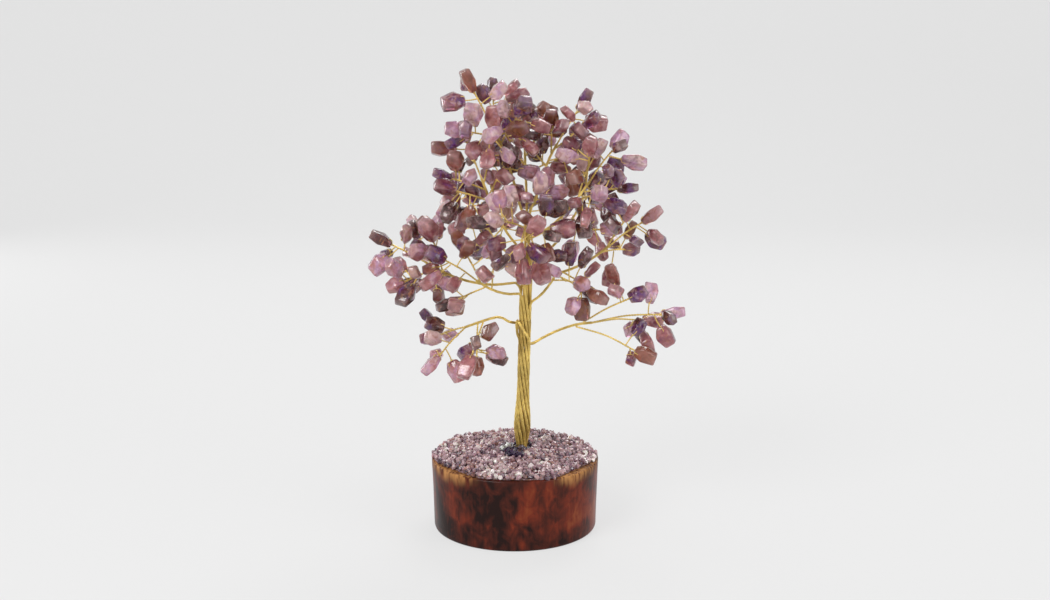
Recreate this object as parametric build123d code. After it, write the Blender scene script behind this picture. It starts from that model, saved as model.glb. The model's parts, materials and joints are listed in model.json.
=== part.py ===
"""A gemstone tree: tumbled stone chips on twisted brass wire, standing in a round block of lacquered wood.

Millimetres, +Z up, front towards -Y. The origin is the centre of the block's underside.
Every branch is a strand of wire that is glued into the block, climbs the twisted trunk, leaves it and
forks into wires that each carry a few drilled stone chips.
"""

from build123d import *
import math
import os
from dataclasses import dataclass

import numpy as np

# Wooden block
base_diameter = 75.0
base_height = 32.0
base_undercut = 0.9
base_foot_chamfer = 1.4
base_rim_chamfer = 0.9
socket_diameter = 6.6
socket_depth = 16.0

# Glue and gravel on the block
bed_edge_margin = 1.6
bed_edge_thickness = 0.7
bed_crown_height = 2.4
bed_plateau_share = 0.16
bed_sides = 26
gravel_size = 3.7
gravel_height = 1.7
gravel_count = 195
foot_chip_size = 4.6
foot_chip_height = 2.6
foot_chip_count = 9
lay_gap = 0.05

# Trunk of twisted strands
trunk_height = 80.0
trunk_radius = 2.85
trunk_offset = 3.0
trunk_lean = 2.0
trunk_twist = -300.0
strand_step = 8.0
strand_sides = 5
strand_gap_share = 0.07
outer_strands = 10
core_strands = 4
socket_floor_gap = 1.0
glue_wall_gap = 0.1

# Crown of branches
tree_height = 168.0
crown_reach = 70.0
crown_depth = 45.0
spray_radius = 0.45
twig_radius = 0.28
spray_length = 17.0
twig_length = 5.6
wire_gap = 0.12
clearance = 0.2

# Stone chips
chip_length = 10.0
chip_width = 8.8
chip_thickness = 6.6

# Bend of the two free branches, which are set by hand
bend_gap = 0.3
bend_down = 20.0
bend_up_right = 10.0
bend_up_left = 5.0

# Search for clear places: turns about the carrying wire, and how strictly the free strands get their slots
golden_angle = 180.0 * (3.0 - math.sqrt(5.0))
try_turn = 41.0
free_slot_weight = 12.0

# Trunk's half width above the gravel, as shares of trunk_height and trunk_radius
trunk_profile_shares = [
    (-0.20, 0.70), (-0.10, 0.70), (0.0, 0.74), (0.08, 1.18), (0.15, 1.42), (0.25, 1.16), (0.35, 1.0),
]

# A strand's way out of its slot: rise and distance outwards, as shares of its radius
leave_shares = [(0.0, 0.0), (2.0, 0.4), (4.0, 1.5), (6.0, 3.4)]

# Cross-sections of the chips, as shares of half the width and half the thickness
chip_section_shares = [
    [(-1.0, -0.2), (-0.2, -1.0), (0.9, -0.5), (0.8, 0.8), (-0.5, 0.9)],
    [(-1.0, 0.1), (-0.1, -1.0), (1.0, -0.1), (0.2, 1.0)],
    [(-0.9, -0.6), (0.7, -0.9), (1.0, 0.5), (-0.5, 1.0)],
    [(-1.0, -0.3), (0.4, -1.0), (1.0, 0.3), (-0.4, 1.0)],
    [(-1.0, 0.5), (-0.6, -0.9), (0.9, -0.6), (0.7, 1.0)],
]

# Rings along a chip: height, size and sideways shift, as shares of its length, section and half width
chip_ring_shares = [
    [(0.0, 0.50, 0.0), (0.50, 1.0, 0.05), (1.0, 0.72, 0.16)],
    [(0.0, 0.56, 0.0), (0.36, 1.0, -0.06), (0.90, 0.74, 0.10)],
    [(0.0, 0.50, 0.0), (0.58, 1.0, 0.0), (0.98, 0.78, -0.12)],
    [(0.0, 0.62, 0.0), (0.46, 1.0, 0.08), (0.94, 0.64, 0.0)],
]
chip_size_shares = [1.0, 0.84, 1.08, 0.92, 0.78, 1.02, 0.88]


@dataclass(frozen=True)
class Branch:
    """One branch: where its strand leaves the trunk, where it forks, and what it carries.

    Heights are shares of tree_height, fork places are shares of crown_reach, crown_depth and tree_height.
    """

    name: str
    leave_share: float
    fork_shares: tuple
    sprays: int
    chips: int
    lift_share: float = 0.2
    spread: float = 62.0
    spray_share: float = 1.0
    bare_share: float = 0.2
    aim_shares: tuple = None
    core: bool = False


branches = [
    Branch("low_right", 0.298, (0.44, -0.11, 0.352), 4, 14, spread=29.0, spray_share=1.8, bare_share=0.66,
           aim_shares=(1.0, 0.0, 0.05)),
    Branch("low_left", 0.318, (-0.35, -0.10, 0.340), 4, 16, spread=46.0, aim_shares=(-1.0, -0.1, -0.46)),
    Branch("right_low", 0.385, (0.23, -0.16, 0.495), 3, 10, spread=50.0, aim_shares=(1.0, -0.3, -0.14)),
    Branch("left_inner", 0.405, (-0.28, -0.22, 0.470), 4, 18),
    Branch("left_mid", 0.430, (-0.60, 0.02, 0.505), 5, 24),
    Branch("right_mid", 0.452, (0.56, 0.06, 0.550), 3, 13, spread=50.0),
    Branch("back_left", 0.480, (-0.26, 0.52, 0.600), 5, 21),
    Branch("back_right", 0.500, (0.34, 0.52, 0.610), 5, 21),
    Branch("crown_left", 0.530, (-0.25, 0.06, 0.725), 5, 25),
    Branch("crown_right", 0.550, (0.42, -0.06, 0.720), 5, 25),
    Branch("crown_front", 0.585, (0.02, -0.46, 0.610), 5, 26, core=True),
    Branch("crown_back", 0.600, (0.02, 0.46, 0.780), 5, 21, core=True),
    Branch("top_left", 0.625, (-0.18, -0.06, 0.860), 5, 25, core=True),
    Branch("top_right", 0.640, (0.22, 0.16, 0.810), 5, 20, core=True),
]

# The lowest right strand laps over the front of the trunk before it goes out: turn, and height as a share
lap_radius_share = 1.6
lap_shares = [
    (-164.0, 0.340), (-150.0, 0.354), (-128.0, 0.348), (-106.0, 0.335), (-84.0, 0.321), (-62.0, 0.307),
]

# Ways of the two free branches, in shares as the forks are: the stub on the trunk, then the stem that bends
stub_shares = {
    "low_right": [(0.050, -0.078, 0.2945), (0.080, -0.086, 0.2965)],
    "low_left": [(-0.078, 0.010, 0.347)],
}
free_way_shares = {
    "low_right": [(0.14, -0.09, 0.312), (0.235, -0.09, 0.331), (0.34, -0.10, 0.346)],
    "low_left": [(-0.137, 0.0, 0.360), (-0.205, -0.067, 0.359)],
}
free_leave_turns = {"low_right": -172.0, "low_left": 163.0}
free_limits = {"low_right": (-bend_down, bend_up_right), "low_left": (-bend_down, bend_up_left)}

bed_top = base_height + lay_gap + bed_edge_thickness + bed_crown_height
packed_share = (math.sqrt(2.0) + 2.0) * (1.0 + strand_gap_share) + 1.0
stem_radius = trunk_radius / packed_share
up = np.array([0.0, 0.0, 1.0])


def unit(vector):
    """The vector at length one."""
    return vector / np.linalg.norm(vector)


def length_of(vector):
    """Length of a vector."""
    return float(np.linalg.norm(vector))


def rotation(axis, degrees):
    """Matrix that turns points about an axis through the origin."""
    x, y, z = axis
    cross = np.array([[0.0, -z, y], [z, 0.0, -x], [-y, x, 0.0]])
    angle = math.radians(degrees)
    return np.eye(3) + math.sin(angle) * cross + (1.0 - math.cos(angle)) * cross @ cross


def sides_of(direction, turn=0.0):
    """Two directions square to one another and to the given one."""
    helper = np.array([1.0, 0.0, 0.0]) if abs(direction[2]) > 0.9 else up
    first = unit(np.cross(helper, direction))
    second = np.cross(direction, first)
    cosine, sine = math.cos(math.radians(turn)), math.sin(math.radians(turn))
    return first * cosine + second * sine, second * cosine - first * sine


def tilted(direction, tilt, turn):
    """A direction tilted away from another one, at a turn about it."""
    across, _ = sides_of(direction, turn)
    return direction * math.cos(math.radians(tilt)) + across * math.sin(math.radians(tilt))


class Form:
    """A straight-sided body between rings of points, such as a chip or a length of wire."""

    def __init__(self, rings):
        self.rings = np.array(rings)
        self.points = self.rings.reshape(-1, 3)
        self.axis = unit(self.rings[-1].mean(axis=0) - self.rings[0].mean(axis=0))
        edges = np.roll(self.rings, -1, axis=1) - self.rings
        walls = np.cross(edges[:-1], self.rings[1:] - self.rings[:-1]).reshape(-1, 3)
        caps = np.cross(edges[[0, -1], 0], edges[[0, -1], 1])
        normals = np.vstack([walls, caps])
        self.normals = normals / np.linalg.norm(normals, axis=1)[:, None]
        self.centre = (self.points.max(axis=0) + self.points.min(axis=0)) / 2.0
        self.reach = float(np.linalg.norm(self.points - self.centre, axis=1).max())

    def turned(self, centre, axis, degrees):
        """The same body turned about a line."""
        return Form((self.rings - centre) @ rotation(axis, degrees).T + centre)

    def is_clear_of(self, other, gap):
        """Whether a flat gap of the given width lies between this body and another."""
        across = np.cross(self.axis, other.axis)
        size = np.linalg.norm(across)
        normals = [self.normals, other.normals]
        if size > 0.01:
            normals.append(across[None, :] / size)
        directions = np.vstack(normals).T
        own = self.points @ directions
        others = other.points @ directions
        gaps = np.maximum(own.min(axis=0) - others.max(axis=0), others.min(axis=0) - own.max(axis=0))
        return bool(gaps.max() >= gap)

    def solid(self):
        """The body as a solid with flat faces."""
        wires = [Wire.make_polygon([Vector(*point) for point in ring], close=True) for ring in self.rings]
        loft = Solid.make_loft(wires, True)
        return Solid(Shell([Face(face.outer_wire()) for face in loft.faces()]))


def ring_about(centre, direction, radius, sides):
    """Corners of a polygon square to a direction."""
    first, second = sides_of(direction)
    angles = [2.0 * math.pi * corner / sides for corner in range(sides)]
    return [centre + radius * (first * math.cos(angle) + second * math.sin(angle)) for angle in angles]


def level_ring(centre, radius, sides):
    """Corners of a level polygon."""
    angles = [2.0 * math.pi * corner / sides for corner in range(sides)]
    return [centre + radius * np.array([math.cos(angle), math.sin(angle), 0.0]) for angle in angles]


def bar(start, end, radius, sides):
    """A straight length of twisted wire."""
    direction = unit(end - start)
    return Form([ring_about(point, direction, radius, sides) for point in (start, end)])


def chip(seat, direction, size, number):
    """One tumbled chip: rings of one section, small at the drilled seat and full at the belly."""
    section = chip_section_shares[number % len(chip_section_shares)]
    wide, thick = sides_of(direction, golden_angle * number)
    rings = []
    for height, ring_size, shift in chip_ring_shares[(number // 2) % len(chip_ring_shares)]:
        centre = seat + direction * height * chip_length * size + wide * shift * chip_width * size / 2.0
        half_wide = wide * ring_size * chip_width * size / 2.0
        half_thick = thick * ring_size * chip_thickness * size / 2.0
        rings.append([centre + half_wide * x + half_thick * y for x, y in section])
    return Form(rings)


def profile_radius(height):
    """Half width of the trunk at a height above the gravel."""
    heights = [row[0] for row in trunk_profile_shares]
    radii = [row[1] for row in trunk_profile_shares]
    return trunk_radius * float(np.interp(height / trunk_height, heights, radii))


def trunk_centre(height):
    """Middle of the trunk at a height above the gravel."""
    lean = trunk_lean * max(height, 0.0) / trunk_height
    return np.array([trunk_offset + lean, 0.0, bed_top + height])


def around_trunk(turn, height, radius):
    """A place at a turn and a distance from the trunk's middle."""
    angle = math.radians(turn)
    return trunk_centre(height) + radius * np.array([math.cos(angle), math.sin(angle), 0.0])


def strand_place(slot, height, core, outwards=0.0):
    """Middle of a strand in its slot at a height above the gravel."""
    size = profile_radius(height) / packed_share * (1.0 + strand_gap_share)
    ring = math.sqrt(2.0) * size if core else (math.sqrt(2.0) + 2.0) * size
    return around_trunk(slot + trunk_twist * height / trunk_height, height, ring + outwards)


def strand_heights(top):
    """Heights of a strand's rings, from the socket to where it leaves the trunk."""
    foot = base_height - socket_depth + socket_floor_gap - bed_top
    heights = [foot] + [share * trunk_height for share, _ in trunk_profile_shares]
    heights = [height for height in heights if foot <= height]
    while heights[-1] + strand_step < top:
        heights.append(heights[-1] + strand_step)
    return [height for height in heights if height < top - stem_radius] + [top]


def strand(slot, top, core):
    """A strand of wires in the trunk, squeezed and spread as the trunk is."""
    rings = []
    for height in strand_heights(top):
        size = stem_radius if height == top else profile_radius(height) / packed_share
        rings.append(level_ring(strand_place(slot, height, core), size, strand_sides))
    return Form(rings).solid()


def crown_point(shares):
    """A place in the crown from its shares."""
    return np.array([
        trunk_offset + shares[0] * crown_reach,
        shares[1] * crown_depth,
        bed_top + shares[2] * tree_height,
    ])


def leave_turn(branch):
    """Turn at which a strand has to leave the trunk."""
    if branch.name in free_leave_turns:
        return free_leave_turns[branch.name]
    outwards = crown_point(branch.fork_shares) - trunk_centre(branch.leave_share * tree_height)
    return math.degrees(math.atan2(outwards[1], outwards[0]))


def slots_for(group, count):
    """Gives each strand of a ring the slot that brings it nearest to where it has to leave."""
    wanted = {}
    for branch in group:
        twist = trunk_twist * branch.leave_share * tree_height / trunk_height
        wanted[branch.name] = (leave_turn(branch) - twist) % 360.0
    order = sorted(wanted, key=wanted.get)
    step = 360.0 / count

    def misfit(first):
        total = 0.0
        for place, name in enumerate(order):
            gap = (wanted[name] - first - step * place + 180.0) % 360.0 - 180.0
            total += gap * gap * (free_slot_weight if name in free_leave_turns else 1.0)
        return total

    best = min(range(360), key=misfit)
    return {name: best + step * place for place, name in enumerate(order)}


def eased_way(start, lift, end, steps):
    """Points on a curve that starts towards one point and ends at another."""
    shares = [step / steps for step in range(steps + 1)]
    return [start * (1 - t) ** 2 + lift * 2 * t * (1 - t) + end * t ** 2 for t in shares]


class Space:
    """Remembers what is in place and tells whether a new body is clear of it."""

    def __init__(self):
        self.placed = []
        self.centres = np.zeros((0, 3))
        self.reaches = np.zeros(0)
        self.hinges = {}

    def add(self, form, piece, group):
        """Puts a body in place."""
        self.placed.append((form, piece, group))
        self.centres = np.vstack([self.centres, form.centre])
        self.reaches = np.append(self.reaches, form.reach)

    def drop_after(self, count):
        """Takes away what was put in place last."""
        del self.placed[count:]
        self.centres = self.centres[:count]
        self.reaches = self.reaches[:count]

    def poses(self, form, group, other):
        """The body at rest, and turned as it meets another group when a free branch bends."""
        poses = [form]
        for name in (group, other):
            if group != other and name in self.hinges:
                centre, axis, limits = self.hinges[name]
                sign = 1.0 if name == group else -1.0
                turns = [sign * limit * part for limit in limits for part in (0.5, 1.0)]
                poses += [form.turned(centre, axis, turn) for turn in turns]
        return poses

    def is_clear(self, form, group, seat=None, inside=None):
        """Whether a body stays clear of all others: it may lie against its seat and start inside a piece."""
        groups = {row[2] for row in self.placed}
        for other in sorted(groups):
            for pose in self.poses(form, group, other):
                distances = np.linalg.norm(self.centres - pose.centre, axis=1)
                for place in np.flatnonzero(distances < self.reaches + pose.reach + clearance):
                    placed, piece, placed_group = self.placed[place]
                    gap = lay_gap / 2.0 if piece == seat else clearance
                    if placed_group == other and piece != inside and not pose.is_clear_of(placed, gap):
                        return False
        return True


def side_start(carrier_radius, radius, tilt):
    """How far along a side wire starts, so that it clears the wire it springs from."""
    angle = math.radians(tilt)
    return (carrier_radius + radius * math.cos(angle) + wire_gap) / math.sin(angle)


class Spray:
    """A straight wire with chips at its end and on short twigs along its sides."""

    def __init__(self, branch, number, group, start, direction, length):
        self.name = f"{branch.name}_{number}"
        self.branch = branch
        self.number = number
        self.group = group
        self.start = start
        self.direction = direction
        self.end = start + direction * length
        self.wires = [bar(start, self.end, spray_radius, 3)]
        self.chips = []

    def chip_for(self, place, seat, direction):
        """The chip that goes on one of the ends of the spray."""
        number = place + 3 * self.number
        size = chip_size_shares[number % len(chip_size_shares)]
        return chip(seat + direction * lay_gap, direction, size, number + len(self.branch.name))

    def add_tip_chip(self, space):
        """Seats a chip on the end of the wire."""
        stone_chip = self.chip_for(0, self.end, self.direction)
        if space.is_clear(stone_chip, self.group, self.name):
            space.add(stone_chip, self.name + "_chip", self.group)
            self.chips.append(stone_chip)

    def add_side_chip(self, space, place, count):
        """Seats a chip on a twig at the side, at the first turn and place where both are clear."""
        step = (1.0 - self.branch.bare_share) / count
        for attempt in range(36):
            root = self.end + (self.start - self.end) * step * (place - 0.7 + 0.25 * (attempt % 4))
            tilt = 50.0 + 9.0 * ((attempt + place) % 5)
            turn = golden_angle * (place + 2 * self.number) + try_turn * attempt
            direction = tilted(self.direction, tilt, turn)
            first = root + direction * side_start(spray_radius, twig_radius, tilt)
            last = first + direction * twig_length * (0.7 + 0.12 * ((place + attempt) % 5))
            stone_chip = self.chip_for(place, last, direction)
            if not space.is_clear(stone_chip, self.group):
                continue
            twig = bar(first, last, twig_radius, 3)
            if space.is_clear(twig, self.group, self.name):
                space.add(twig, self.name + "_twig", self.group)
                space.add(stone_chip, self.name + "_chip", self.group)
                self.wires.append(twig)
                self.chips.append(stone_chip)
                return


class Tree:
    """Works out where every wire and chip of the tree goes."""

    def __init__(self):
        self.space = Space()
        self.slots = slots_for([branch for branch in branches if not branch.core], outer_strands)
        self.slots.update(slots_for([branch for branch in branches if branch.core], core_strands))
        self.ways = {}
        self.free_ways = {}
        self.sprays = {}

    def add_trunk(self):
        """Takes the room of the trunk and of the block."""
        top = max(branch.leave_share for branch in branches) * tree_height
        heights = [height for height in strand_heights(top) if height >= 0.0]
        rings = []
        for height in heights:
            rings.append(level_ring(trunk_centre(height), profile_radius(height), outer_strands))
        for low, high in zip(rings, rings[1:]):
            self.space.add(Form([low, high]), "trunk", "fixed")
        heights = (0.0, bed_top + gravel_height)
        block = [level_ring(up * height, base_diameter / 2.0, bed_sides) for height in heights]
        self.space.add(Form(block), "block", "fixed")

    def leaving_points(self, branch):
        """Way of a strand out of its slot, along the twist and outwards."""
        height = branch.leave_share * tree_height
        points = []
        for rise, outwards in leave_shares:
            level = height + rise * stem_radius
            points.append(strand_place(self.slots[branch.name], level, branch.core, outwards * stem_radius))
        return points

    def lap_points(self):
        """Way of the lowest right strand across the front of the trunk."""
        points = []
        for turn, share in lap_shares:
            level = share * tree_height
            points.append(around_trunk(turn, level, profile_radius(level) + lap_radius_share * stem_radius))
        return points

    def add_way(self, points, name, group):
        """Takes the room of a stem."""
        for start, end in zip(points, points[1:]):
            self.space.add(bar(start, end, stem_radius, strand_sides), name, group)

    def route_free(self, branch):
        """Routes one of the two free branches: its stub, and the stem beyond the bend."""
        points = self.leaving_points(branch)
        if branch.name == "low_right":
            points = points[:3] + self.lap_points()
        points += [crown_point(shares) for shares in stub_shares[branch.name]]
        way = [crown_point(shares) for shares in free_way_shares[branch.name] + [branch.fork_shares]]
        out = unit(way[0] - points[-1])
        self.space.hinges[branch.name] = (
            points[-1] + out * bend_gap / 2.0, unit(np.cross(out, up)), free_limits[branch.name]
        )
        self.ways[branch.name] = points
        self.free_ways[branch.name] = [points[-1] + out * bend_gap] + way
        self.add_way(points, branch.name + "_strand", "fixed")
        self.add_way(self.free_ways[branch.name], branch.name + "_stem", branch.name)

    def fixed_points(self, branch, nudge):
        """Way of a fixed stem to its fork, nudged about the trunk."""
        leaving = self.leaving_points(branch)
        centre = trunk_centre(branch.leave_share * tree_height)
        fork = (crown_point(branch.fork_shares) - centre) @ rotation(up, nudge).T + centre
        shoulder = leaving[-1]
        rise = length_of(fork - shoulder) * branch.lift_share
        lift = shoulder * 0.5 + fork * 0.5 + (up * rise if branch.core else -up * rise)
        return leaving[:-1] + eased_way(shoulder, lift, fork, 4)

    def route_fixed(self, branch):
        """Routes a branch that stays with the trunk, past the stems that are in place."""
        for nudge in (0.0, 7.0, -7.0, 14.0, -14.0, 21.0, -21.0, 28.0, -28.0):
            points = self.fixed_points(branch, nudge)
            bars = [bar(low, high, stem_radius, strand_sides) for low, high in zip(points, points[1:])]
            if all(self.space.is_clear(form, "fixed", inside="trunk") for form in bars):
                break
        self.ways[branch.name] = points
        self.add_way(points, branch.name + "_stem", "fixed")

    def spray_root(self, way, number):
        """Place on a stem where a spray springs from, and the stem's direction there."""
        back = number * 2.6 * (spray_radius + stem_radius)
        place = len(way) - 1
        while place > 1 and back > length_of(way[place] - way[place - 1]):
            back -= length_of(way[place] - way[place - 1])
            place -= 1
        direction = unit(way[place] - way[place - 1])
        return way[place] - direction * back, direction

    def try_spray(self, branch, number, chips, attempt):
        """One try at a spray, which may find clear places for only some of its chips."""
        group = branch.name if branch.name in self.free_ways else "fixed"
        root, along = self.spray_root(self.free_ways.get(branch.name, self.ways[branch.name]), number)
        main = along
        if branch.aim_shares is not None:
            aim = branch.aim_shares
            main = unit(np.array([aim[0] * crown_reach, aim[1] * crown_depth, aim[2] * tree_height]))
        if number == 0:
            direction = tilted(main, 6.0 * attempt, 50.0 * attempt)
            bend = math.acos(min(float(direction @ along), 1.0))
            start = root + direction * (wire_gap + (stem_radius + spray_radius) * math.sin(bend))
        else:
            tilt = branch.spread * (0.62 + 0.38 * number / (branch.sprays - 1)) - 4.0 * (attempt % 5)
            direction = tilted(main, tilt, golden_angle * number + 40.0 * attempt)
            bend = math.degrees(math.acos(max(min(float(direction @ along), 0.9), -0.9)))
            start = root + direction * side_start(stem_radius, spray_radius, bend)
        length = spray_length * branch.spray_share * (1.0 - 0.08 * (number % 3) - 0.05 * (attempt % 3))
        spray = Spray(branch, number, group, start, direction, length)
        if not self.space.is_clear(spray.wires[0], group, branch.name + "_stem"):
            return None
        self.space.add(spray.wires[0], spray.name, group)
        spray.add_tip_chip(self.space)
        for place in range(1, chips):
            spray.add_side_chip(self.space, place, chips)
        return spray

    def grow(self, branch):
        """Adds the sprays of a branch, each at the try that carries most of its chips."""
        self.sprays[branch.name] = []
        for number in range(branch.sprays):
            chips = branch.chips // branch.sprays + (1 if number < branch.chips % branch.sprays else 0)
            mark = len(self.space.placed)
            best, best_count = 0, 0
            for attempt in range(10):
                spray = self.try_spray(branch, number, chips, attempt)
                count = 0 if spray is None else len(spray.chips)
                if count > best_count:
                    best, best_count = attempt, count
                if count == chips:
                    break
                self.space.drop_after(mark)
            if best_count < chips:
                spray = self.try_spray(branch, number, chips, best)
            if best_count > 0:
                self.sprays[branch.name].append(spray)

    def lay_out(self):
        """Routes all stems, then adds the sprays, the free branches first."""
        self.add_trunk()
        free = [branch for branch in branches if branch.name in free_leave_turns]
        fixed = [branch for branch in branches if branch.name not in free_leave_turns]
        for branch in free:
            self.route_free(branch)
        for branch in fixed:
            self.route_fixed(branch)
        for branch in free + fixed:
            self.grow(branch)


def wood_base():
    """The turned block with the drilled socket for the wires."""
    top = base_diameter / 2.0
    foot = top - base_undercut
    outline = Polyline(
        (0.0, 0.0),
        (foot - base_foot_chamfer, 0.0),
        (foot, base_foot_chamfer),
        (top, base_height - base_rim_chamfer),
        (top - base_rim_chamfer, base_height),
        (0.0, base_height),
        close=True,
    )
    block = revolve(Plane.XZ * make_face(outline), axis=Axis.Z)
    drill = Cylinder(socket_diameter / 2.0, 2.0 * socket_depth, align=(Align.CENTER, Align.CENTER, Align.MIN))
    return (block - Pos(trunk_offset, 0.0, base_height - socket_depth) * drill).solids()[0]


def bed_radius(corner):
    """Radius of the poured glue's uneven edge at one of its corners."""
    angle = 2.0 * math.pi * corner / bed_sides
    wave = 0.45 * math.sin(3.0 * angle + 0.7) + 0.35 * math.sin(7.0 * angle) - 0.2 * math.cos(5.0 * angle)
    return base_diameter / 2.0 - bed_edge_margin * (1.0 + 0.6 * wave)


def bed_height(x, y):
    """Height of the glue bed above the block at a place on it."""
    place = (math.atan2(y, x) / (2.0 * math.pi)) % 1.0 * bed_sides
    edge = max(bed_radius(math.floor(place)), bed_radius(math.ceil(place)))
    share = (edge - math.hypot(x, y)) / (edge * (1.0 - bed_plateau_share))
    return lay_gap + bed_edge_thickness + bed_crown_height * max(0.0, min(share, 1.0))


def bed_slope(x, y):
    """Slope of the glue bed at a place on it."""
    edge = base_diameter / 2.0 - bed_edge_margin
    if math.hypot(x, y) < edge * bed_plateau_share:
        return 0.0
    return math.degrees(math.atan2(bed_crown_height, edge * (1.0 - bed_plateau_share)))


def socket_peg(radius, bottom, top):
    """A twelve-sided peg on the trunk's axis."""
    return Pos(trunk_offset, 0.0, bottom) * extrude(RegularPolygon(radius, 12), amount=top - bottom)


def gravel_glue():
    """The clear glue bed, low at its uneven edge and raised towards the trunk."""
    edge = []
    for corner in range(bed_sides):
        angle = 2.0 * math.pi * corner / bed_sides
        edge.append(bed_radius(corner) * np.array([math.cos(angle), math.sin(angle), 0.0]))
    foot = base_height + lay_gap
    rings = [
        [point + up * foot for point in edge],
        [point + up * (foot + bed_edge_thickness) for point in edge],
        [point * bed_plateau_share + up * bed_top for point in edge],
    ]
    hole = socket_peg(socket_diameter / 2.0, base_height - lay_gap, bed_top + lay_gap)
    return (Form(rings).solid() - hole).solids()[0]


def socket_glue():
    """The glue that holds the bundle of wires in the drilled socket."""
    bottom = base_height - socket_depth + lay_gap
    plug = socket_peg(socket_diameter / 2.0 - glue_wall_gap, bottom, bed_top)
    floor = bottom + socket_floor_gap / 2.0
    bundle = socket_peg(profile_radius(0.0) + glue_wall_gap, floor, bed_top + lay_gap)
    return (plug - bundle).solids()[0]


def stone(size, height, sides, number, top_share):
    """A small broken stone on a flat side."""
    rings = []
    for level, scale in ((0.0, 1.0), (height, top_share)):
        corners = []
        for corner in range(sides):
            angle = 2.0 * math.pi * (corner + 0.16 * math.sin(3.0 * number + corner)) / sides
            reach = size / 2.0 * scale * (0.86 + 0.14 * math.sin(2.1 * corner + 1.7 * number))
            corners.append(np.array([reach * math.cos(angle), reach * math.sin(angle), level]))
        rings.append(corners)
    return Form(rings).solid()


def on_bed(shape, x, y, turn):
    """Lays a stone on the slope of the glue bed."""
    level = base_height + lay_gap + bed_height(x, y)
    lean = Rot(0, 0, math.degrees(math.atan2(y, x))) * Rot(0, bed_slope(x, y), 0)
    return Pos(x, y, level) * lean * Rot(0, 0, turn) * shape


def gravel_chips():
    """Small stones all over the bed, in a sunflower pattern."""
    stones = []
    reach = base_diameter / 2.0 - bed_edge_margin - gravel_size / 2.0
    keep_clear = socket_diameter / 2.0 + foot_chip_size * 1.1 + gravel_size / 2.0
    for number in range(gravel_count):
        distance = reach * math.sqrt((number + 0.5) / gravel_count)
        angle = math.radians(golden_angle * number)
        x, y = distance * math.cos(angle), distance * math.sin(angle)
        if math.hypot(x - trunk_offset, y) > keep_clear:
            size = gravel_size * (0.9 + 0.1 * math.sin(5.0 * number))
            height = gravel_height * (0.8 + 0.2 * math.cos(7.0 * number))
            sides = 4 if number % 3 == 0 else 3
            stones.append(on_bed(stone(size, height, sides, number, 0.55), x, y, 50.0 * number))
    return stones


def foot_chips():
    """Larger dark chips around the foot of the trunk."""
    stones = []
    reach = socket_diameter / 2.0 + foot_chip_size * 0.6
    for number in range(foot_chip_count):
        angle = 2.0 * math.pi * (number + 0.5) / foot_chip_count
        x, y = trunk_offset + reach * math.cos(angle), reach * math.sin(angle)
        shape = stone(foot_chip_size * 0.86, foot_chip_height, 4, number + 5, 0.6)
        stones.append(on_bed(shape, x, y, 70.0 * number))
    return stones


def swept_stem(points, section):
    """A bent length of twisted wire with mitred corners."""
    path = Polyline(*[tuple(point) for point in points])
    return sweep(section, path=path, transition=Transition.RIGHT).solids()[0]


def strand_solid(tree, branch):
    """A strand in the trunk with the stem that it runs on into, as one solid."""
    rise = strand(tree.slots[branch.name], branch.leave_share * tree_height, branch.core)
    points = tree.ways[branch.name]
    ring = level_ring(points[0], stem_radius, strand_sides)
    section = Face(Wire.make_polygon([Vector(*point) for point in ring], close=True))
    return (rise + swept_stem(points, section)).solids()[0]


def free_stem_solid(points):
    """The stem of a free branch, from its bend to its fork."""
    start = Plane(origin=tuple(points[0]), z_dir=tuple(points[1] - points[0]))
    return swept_stem(points, start * RegularPolygon(stem_radius, strand_sides))


def save(name, solids):
    """Writes one node: a solid, or a group of separate solids."""
    shape = solids[0] if len(solids) == 1 else Compound(children=list(solids))
    shape.label = name
    export_step(shape, os.path.join("parts", name + ".step"))


def save_branch(tree, branch):
    """Writes the nodes of one branch."""
    if branch.name in tree.free_ways:
        save(branch.name + "_strand", [strand_solid(tree, branch)])
        save(branch.name + "_stem", [free_stem_solid(tree.free_ways[branch.name])])
    else:
        save(branch.name + "_stem", [strand_solid(tree, branch)])
    sprays = tree.sprays[branch.name]
    save(branch.name + "_wires", [wire.solid() for spray in sprays for wire in spray.wires])
    save(branch.name + "_chips", [form.solid() for spray in sprays for form in spray.chips])


def main():
    """Builds every piece and writes one file for each node."""
    os.makedirs("parts", exist_ok=True)
    tree = Tree()
    tree.lay_out()
    save("wood_base", [wood_base()])
    save("gravel_glue", [gravel_glue()])
    save("socket_glue", [socket_glue()])
    save("gravel_chips", gravel_chips())
    save("foot_chips", foot_chips())
    for branch in branches:
        save_branch(tree, branch)
        chips = sum(len(spray.chips) for spray in tree.sprays[branch.name])
        print(branch.name, "carries", chips, "of", branch.chips, "chips")
    for name, (centre, axis, limits) in tree.space.hinges.items():
        print("bend of", name, centre.round(4).tolist(), axis.round(5).tolist(), limits)


main()
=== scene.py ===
"""Dresses the gemstone tree: tumbled stones on twisted brass wire in a round block of lacquered wood.

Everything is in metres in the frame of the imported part. The stones and the wires are built on the solids
that the part has for them, so each one lies where the part says.
"""

import json
import logging
import math
from dataclasses import dataclass
from enum import Enum
from random import Random
from typing import Optional, Sequence, Union

import bmesh
import bpy
from bmesh.types import BMesh, BMFace, BMVert
from bpy.types import Material, Object
from mathutils import Matrix, Vector, noise
from mathutils.bvhtree import BVHTree


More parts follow.
